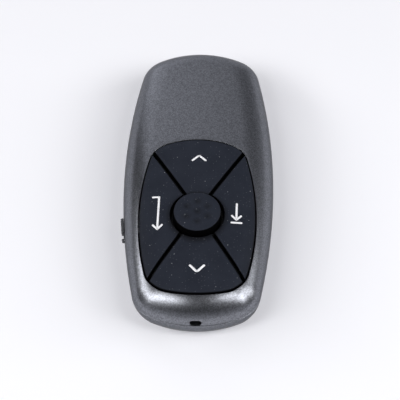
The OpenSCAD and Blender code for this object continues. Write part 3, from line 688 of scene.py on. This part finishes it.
def grip_bar(rear, front, depth, half_h, ridge, pitch):
    """Bar on the slider's outside that hugs the flank, rounded at its ends and edges, with
    ridges that are ridge mm deep and pitch mm apart."""
    end_r, edge_r, off_flank, steps = 0.34, 0.26, 0.02, 48
    length = front - rear
    near = [end_r * f for f in (0, 0.05, 0.15, 0.3, 0.5, 0.75, 1)]
    places = near + [end_r + (length - 2 * end_r) * k / steps for k in range(1, steps)]
    places += [length - d for d in reversed(near)]
    points = []
    for along in places:
        drop = edge_drop(min(along, length - along), end_r)
        out = depth - drop - ridge * (1 - cos(tau * along / pitch)) / 2
        top = half_h - drop
        half = [(off_flank - SHOULDER_W * (1 - sqrt(1 - (z / PARTING_Z) ** 2)), z)
                for z in (0.3 * top, 0.7 * top, top)]
        half += [(out - edge_r * (1 - sin(t)), top - edge_r * (1 - cos(t)))
                 for t in quarter_turn(6)]
        points += [at_slider(-x, rear + along, z) for x, z in half]
        points += [at_slider(-x, rear + along, -z) for x, z in reversed(half)]
    ring = 2 * len(half)
    faces = grid_faces(len(places), ring, False, True) + end_faces(len(points), ring)
    return make_piece("power_slider_grip", points, faces)


def power_slider():
    """Ridged grip and a short nib on a thin plate, a neck through the case and a fork
    for the switch's lever."""
    fork_y, fork_w = (-1.5, 0.55), 0.95
    piece = grip_bar(rear=-1.28, front=3.85, depth=0.78, half_h=1.1, ridge=0.13, pitch=1.0)
    nib = grip_bar(rear=-3.98, front=-3.3, depth=0.7, half_h=0.95, ridge=0, pitch=1)
    plate = slider_block((-0.13, -3.6, -0.95), (-0.03, 3.5, 0.95))
    neck = slider_block((-0.1, -1.2, -0.85), (2.15, 1.5, 0.85))
    inner_plate = slider_block((2.05, -2.6, -1.5), (2.6, 2.6, 2.1))
    join_solid(piece, nib, plate, neck, inner_plate)
    for y in fork_y:
        join_solid(piece, slider_block((2.5, y, 0.9), (3.5, y + fork_w, 2.1)))
    piece.data.materials.append(moulded_nylon("slider_nylon", "#3d3e42", "#4b4c50", 0.4))
    return piece


# ---- Keys ----

def spaced(length, close, count):
    """Places from 0 to 1, crowded within close of both ends of a length."""
    near = [close * f / length for f in (0, 0.06, 0.18, 0.36, 0.6, 0.82, 1.0, 1.4)]
    middle = [near[-1] + (1 - 2 * near[-1]) * k / count for k in range(1, count)]
    return near + middle + [1 - t for t in reversed(near)]


def reach_to_panel(start, way):
    """Distance along a ray at which the keys' outer edge is met, found by halving."""
    low, high = 0.0, 40.0
    halvings = 40
    for _ in range(halvings):
        mid = (low + high) / 2
        d = inset_of(PANEL_LINE, start + way * mid)
        low, high = (mid, high) if d is not None and d > KEY_GAP else (low, mid)
    return low


def key(name, direction, half_angle, ring=RING_R):
    """One petal: straight sides along two grooves, a round inner end, the panel's outer edge,
    a top that follows the case and a soft edge all round."""
    meet, centre = Vector((0, GROOVE_Y)), Vector((0, BUTTON_Y))
    sides = []
    for sign in (-1, 1):
        along = toward(direction + sign * half_angle)
        inward = Vector((along.y, -along.x)) * sign
        sides.append((along, inward))

    def side_offset(p):
        return min((p - meet).dot(inward) - GROOVE_W / 2 for _, inward in sides)

    ends = []
    for along, inward in sides:
        foot = meet + inward * GROOVE_W / 2
        back = (foot - centre).dot(along)
        start = sqrt(back ** 2 + ring ** 2 - (foot - centre).length_squared) - back
        corner = foot + along * reach_to_panel(foot, along)
        ends.append((heading(foot + along * start - centre), heading(corner - centre)))
    (in_a, out_a), (in_b, out_b) = [[a + 360 if a < direction - 180 else a for a in end]
                                    for end in ends]
    if in_b < in_a:
        in_b, out_b = in_b + 360, out_b + 360
    mean_r, steps_across, steps_out = 20, 44, 26
    width = radians(out_b - out_a) * mean_r
    grid = []
    for s in spaced(width, KEY_EDGE_R, steps_across):
        inner = centre + ring * toward(in_a + (in_b - in_a) * s)
        way = toward(out_a + (out_b - out_a) * s)
        outer = centre + way * reach_to_panel(centre, way)
        line = []
        for t in spaced((outer - inner).length, KEY_EDGE_R, steps_out):
            p = inner + (outer - inner) * t
            edge = max(0, min(side_offset(p), (p - centre).length - ring,
                              inset_of(PANEL_LINE, p) - KEY_GAP))
            line.append((p.x, p.y, key_top(p) - edge_drop(edge, KEY_EDGE_R)))
        grid.append(line)
    rows, columns = len(grid), len(grid[0])
    points = [p for line in grid for p in line]
    faces = grid_faces(rows, columns, False, False)
    border = border_of(rows, columns)
    base, n = len(points), len(border)
    for b in border:
        x, y, z = points[b]
        points.append((x, y, z + KEY_EDGE_R - KEY_PROUD - KEY_SKIRT))
    faces += [(border[i], border[(i + 1) % n], base + (i + 1) % n, base + i) for i in range(n)]
    faces.append(tuple(range(base, base + n)))
    piece = make_piece(name, points, faces, FINISHES["soft_touch"])
    piece.data.set_sharp_from_angle(angle=radians(50))
    return piece


def border_of(rows, columns):
    """Vertices round the edge of a grid, in order."""
    border = list(range(columns))
    border += [j * columns + columns - 1 for j in range(1, rows)]
    border += [(rows - 1) * columns + i for i in range(columns - 2, -1, -1)]
    return border + [j * columns for j in range(rows - 2, 0, -1)]


DIMPLES = [Vector((0, 0))] + [toward(60 * k + 30) * DIMPLE_RING_R for k in range(6)]


def button_height(x, y):
    """Top of the button: a low dome with one dimple in the centre and six round it."""
    z = BUTTON_Z + BUTTON_DOME * (1 - (x * x + y * y) / BUTTON_R ** 2)
    for spot in DIMPLES:
        away = (Vector((x, y)) - spot).length / DIMPLE_R
        if away < 1:
            z -= DIMPLE_DEPTH * (1 - away * away) ** 1.5
    return z


def laser_button():
    """Round cap: rings from the centre over the top, the soft edge and down the side."""
    turns, rings = 192, 66
    flat_r = BUTTON_R - BUTTON_EDGE_R
    profile = [(0.02, None)] + [(flat_r * k / rings, None) for k in range(1, rings + 1)]
    profile += [(BUTTON_R - BUTTON_EDGE_R * (1 - sin(turn)),
                 BUTTON_Z - BUTTON_EDGE_R * (1 - cos(turn))) for turn in quarter_turn(8)[1:]]
    profile.append((BUTTON_R, BUTTON_BASE))
    points = []
    for r, z in profile:
        for a in range(turns):
            x, y = r * cos(tau * a / turns), r * sin(tau * a / turns)
            points.append((x, y + CAP_Y, button_height(x, y) if z is None else z))
    faces = grid_faces(len(profile), turns, False, True) + end_faces(len(points), turns)
    # The cap's seven dimples get painted shade
    coat = soft_touch_coat("soft_touch_button", [(spot.x, spot.y + CAP_Y) for spot in DIMPLES],
                           0.1, 1.6, 0.5)
    piece = make_piece("laser_button_cap", points, faces, coat)
    piece.data.set_sharp_from_angle(angle=radians(50))
    return piece


# ---- Printed symbols ----

def key_top(p):
    """Height of the keys' top over a point."""
    return roof(p) + KEY_PROUD


def printed_strokes(name, strokes, half_w):
    """Ink laid on the keys along straight strokes with round ends, each a pair of plan points.
    It stands a little proud of the key and reaches a little into it."""
    ink_proud, ink_sunk, spacing, cap_angles = 0.03, 0.05, 0.3, (8, 25, 42, 60, 76)
    points, faces = [], []
    for start, end in strokes:
        start, end = Vector(start), Vector(end)
        length = (end - start).length
        along = (end - start) / length
        across = Vector((-along.y, along.x))
        steps = max(2, ceil(length / spacing))
        caps = [half_w * cos(radians(a)) for a in cap_angles]
        places = [-c for c in caps] + [length * k / steps for k in range(steps + 1)]
        places += [length + c for c in reversed(caps)]
        base = len(points)
        for height in (ink_proud, -ink_sunk):
            for place in places:
                past = max(-place, place - length, 0)
                reach = across * sqrt(half_w ** 2 - past ** 2)
                middle = start + along * place
                for p in (middle - reach, middle, middle + reach):
                    points.append((p.x, p.y, key_top(p) + height))
        rows = len(places)
        n = 3 * rows
        sheet = grid_faces(rows, 3, False, False)
        faces += [tuple(base + i for i in f) for f in sheet]
        faces += [tuple(base + n + i for i in f) for f in sheet]
        border = border_of(rows, 3)
        m = len(border)
        faces += [(base + border[i], base + border[(i + 1) % m],
                   base + n + border[(i + 1) % m], base + n + border[i]) for i in range(m)]
    return make_piece(name, points, faces, FINISHES["print"])


# ---- Springs ----

def spring(name, x, y, direction):
    """Coned coil of nickel-plated wire from its contact plate at y to the cell."""
    wire_r, wide, narrow, turns, steps = 0.3, 3.4, 2.2, 3.5, 168
    curve = bpy.data.curves.new(name, "CURVE")
    curve.dimensions = "3D"
    curve.bevel_depth = wire_r * MM
    curve.bevel_resolution = 5
    curve.use_fill_caps = True
    line = curve.splines.new("POLY")
    line.points.add(steps)
    for k in range(steps + 1):
        t = k / steps
        a = -tau * turns * t
        r = wide + (narrow - wide) * t
        along = wire_r + (SPRING_L - 2 * wire_r) * t
        spot = Vector((x + direction * r * cos(a), y + direction * along, CELL_Z + r * sin(a)))
        line.points[k].co = (*(spot * MM), 1)
    curve.materials.append(FINISHES["nickel"])
    piece = bpy.data.objects.new(name, curve)
    bpy.context.scene.collection.objects.link(piece)
    return piece


# ---- Studio ----

def floor_finish():
    """Matt white table: lit like paper, with a little white added for the camera, gloss and
    glass."""
    added_white = 0.14
    material, tree, _ = new_material("matt_white_table")
    path = add(tree, "LightPath").outputs
    seen = add(tree, "Math", {0: path["Is Camera Ray"], 1: path["Is Glossy Ray"]},
               operation="MAXIMUM")
    seen = add(tree, "Math", {0: seen, 1: path["Is Transmission Ray"]}, operation="MAXIMUM")
    glow = add(tree, "Math", {0: seen, 1: added_white}, operation="MULTIPLY")
    paper = add(tree, "BsdfDiffuse", {"Color": linear("#e9e9ed")})
    white = add(tree, "Emission", {"Color": linear("#fbfaff"), "Strength": glow})
    add(tree, "OutputMaterial", {"Surface": add(tree, "AddShader", {0: paper, 1: white})})
    return material


def table():
    """Table top just under the base."""
    half, z = 4000, -0.02
    corners = [(-half, -half, z), (half, -half, z), (half, half, z), (-half, half, z)]
    piece = make_piece("table", corners, [(0, 1, 2, 3)], floor_finish())


def softbox(name, azimuth, elevation, lean, length, width, radiance):
    """Softbox 1 m away, aimed at the case. azimuth 0 is over the laser end and 90 is right, and
    lean turns its long side from upright. Its length and width are angles seen from the case."""
    az, el, turn = radians(azimuth), radians(elevation), radians(lean)
    away = Vector((sin(az) * cos(el), cos(az) * cos(el), sin(el)))
    level = Vector((0, 0, 1)).cross(away).normalized()
    along = away.cross(level) * cos(turn) + level * sin(turn)
    light = bpy.data.lights.new(name, "AREA")
    light.shape = "RECTANGLE"
    light.size = 2 * tan(radians(length / 2))
    light.size_y = 2 * tan(radians(width / 2))
    light.energy = radiance * pi * light.size * light.size_y
    lamp = bpy.data.objects.new(name, light)
    axes = Matrix((along, away.cross(along), away)).transposed().to_4x4()
    lamp.matrix_world = Matrix.Translation(away) @ axes
    bpy.context.scene.collection.objects.link(lamp)


def room():
    """World: a wide pale wall beyond the laser end, brighter on the left and near the floor, a
    dim low band behind the tail, and a dark ceiling. The camera and glass see plain white."""
    world = bpy.data.worlds.new("studio_room")
    bpy.context.scene.world = world
    world.use_nodes = True
    tree = world.node_tree
    tree.nodes.clear()
    facing = add(tree, "TexCoord").outputs["Generated"]
    way = add(tree, "SeparateXYZ", {0: facing}).outputs

    # The wall dims from left to right, ends in a soft edge and is brightest at its foot
    beyond = add(tree, "VectorMath", {0: facing, 1: (0.28, 1.0, 0.22)}, operation="DOT_PRODUCT")
    wall = add(tree, "MapRange", {0: way["X"], 1: -0.5, 2: 0.5, 3: 1.02, 4: 0.27})
    wall_edge = add(tree, "MapRange", {0: beyond.outputs["Value"], 1: 0.49, 2: 0.64})
    wall_foot = add(tree, "MapRange", {0: way["Z"], 1: 0.05, 2: 0.3, 3: 1.57, 4: 1.0})
    for level in (wall_edge, wall_foot):
        wall = add(tree, "Math", {0: wall, 1: level}, operation="MULTIPLY")

    # The band dims upwards and ends beside the case
    band = add(tree, "MapRange", {0: way["Z"], 1: 0.26, 2: 0.41, 3: 0.56, 4: 0.12})
    behind = add(tree, "MapRange", {0: way["Y"], 1: -0.51, 2: -0.21, 3: 1.0, 4: 0.0})
    band = add(tree, "Math", {0: band, 1: behind}, operation="MULTIPLY")

    path = add(tree, "LightPath").outputs
    light = wall
    for level in (band, path["Is Camera Ray"], path["Is Transmission Ray"]):
        light = add(tree, "Math", {0: light, 1: level}, operation="MAXIMUM")
    sky = add(tree, "Background", {"Color": linear("#f4f5fb"), "Strength": light})
    add(tree, "OutputWorld", {"Surface": sky})


def camera():
    """Camera above the tail, looking down along the case through a long lens."""
    elevation, azimuth, roll = radians(53.991), radians(1.664), radians(-0.837)
    target, distance = Vector((0.618, -10.049, 15.0)), 402.286
    back = Vector((sin(azimuth) * cos(elevation), -cos(azimuth) * cos(elevation), sin(elevation)))
    right = (-back).cross(Vector((0, 0, 1))).normalized()
    up = right.cross(-back)
    right, up = right * cos(roll) + up * sin(roll), up * cos(roll) - right * sin(roll)
    data = bpy.data.cameras.new("camera")
    data.sensor_width = 36
    data.lens = 123.0
    data.clip_start = 0.01
    eye = bpy.data.objects.new("camera", data)
    turn = Matrix((right, up, back)).transposed().to_4x4()
    eye.matrix_world = Matrix.Translation((target + back * distance) * MM) @ turn
    bpy.context.scene.collection.objects.link(eye)
    bpy.context.scene.camera = eye


# ---- Assembly ----

def dress(piece, body, slot, *nodes):
    """Hangs a piece on its body and lets it stand for CAD nodes."""
    if not piece.data.materials:
        piece.data.materials.append(FINISHES[slot])
    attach(piece, body)
    if nodes:
        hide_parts(*nodes)


camera()
for part in frame["record"]["subparts"]:
    node = frame["nodes"][part["node"]]
    node.data.materials.clear()
    node.data.materials.append(FINISHES[part["material_slot"]])

dress(top_case(), "case", "case_paint", "top_case")
dress(bottom_case(), "case", "case_paint", "bottom_case")
# The up key reaches further in, so that the raised button hides its inner end
dress(key("up_key_petal", 90, 90 - GROOVE_ANGLE, RING_R - 0.4), "up", "soft_touch", "up_key")
dress(key("down_key_petal", -90, 90 - GROOVE_ANGLE), "down", "soft_touch", "down_key")
dress(key("enter_key_petal", 180, GROOVE_ANGLE), "enter", "soft_touch", "enter_key")
dress(key("tab_key_petal", 0, GROOVE_ANGLE), "tab", "soft_touch", "tab_key")
dress(laser_button(), "laser", "soft_touch", "laser_button")
dress(power_slider(), "slider", "black_plastic", "power_slider")
dress(spring("spring_left_coil", -CELL_X, REAR_PLATE_Y, 1), "case", "nickel", "spring_left")
dress(spring("spring_right_coil", CELL_X, FRONT_PLATE_Y, -1), "case", "nickel", "spring_right")

# Chevrons with blunt tips, a return arrow read from the left, and an arrow that runs to a bar
# read from the right: (body, half the stroke's width, strokes)
SYMBOLS = [
    ("up", 0.3, [((-1.72, 0.92), (0.02, 2.6)), ((0.02, 2.6), (0.36, 2.6)),
                 ((0.36, 2.6), (2.13, 0.93))]),
    ("down", 0.33, [((-1.72, -35.28), (-0.04, -37.0)), ((-0.04, -37.0), (0.46, -37.0)),
                    ((0.46, -37.0), (2.18, -35.23))]),
    ("enter", 0.3, [((-11.4, -23.2), (-11.2, -12.2)), ((-11.2, -12.2), (-13.0, -12.2)),
                    ((-12.7, -21.8), (-11.4, -23.2)), ((-10.1, -21.8), (-11.4, -23.2))]),
    ("tab", 0.3, [((11.4, -14.4), (11.3, -19.8)), ((10.0, -18.5), (11.3, -19.8)),
                  ((12.6, -18.5), (11.3, -19.8)), ((9.9, -20.8), (12.7, -20.8))]),
]
for body, half_w, strokes in SYMBOLS:
    dress(printed_strokes(body + "_symbol", strokes, half_w), body, "white_plastic")

table()
room()
softbox("left_strip", azimuth=-130, elevation=46.5, lean=38, length=38, width=15, radiance=7.4)
softbox("right_strip", azimuth=123, elevation=45.5, lean=-25, length=40, width=14, radiance=6.3)
softbox("left_panel", azimuth=-88, elevation=30, lean=-26, length=15, width=43, radiance=5.2)
softbox("right_panel", azimuth=92, elevation=30, lean=-37, length=41, width=21, radiance=4.2)
bpy.context.scene.view_settings.view_transform = "Standard"
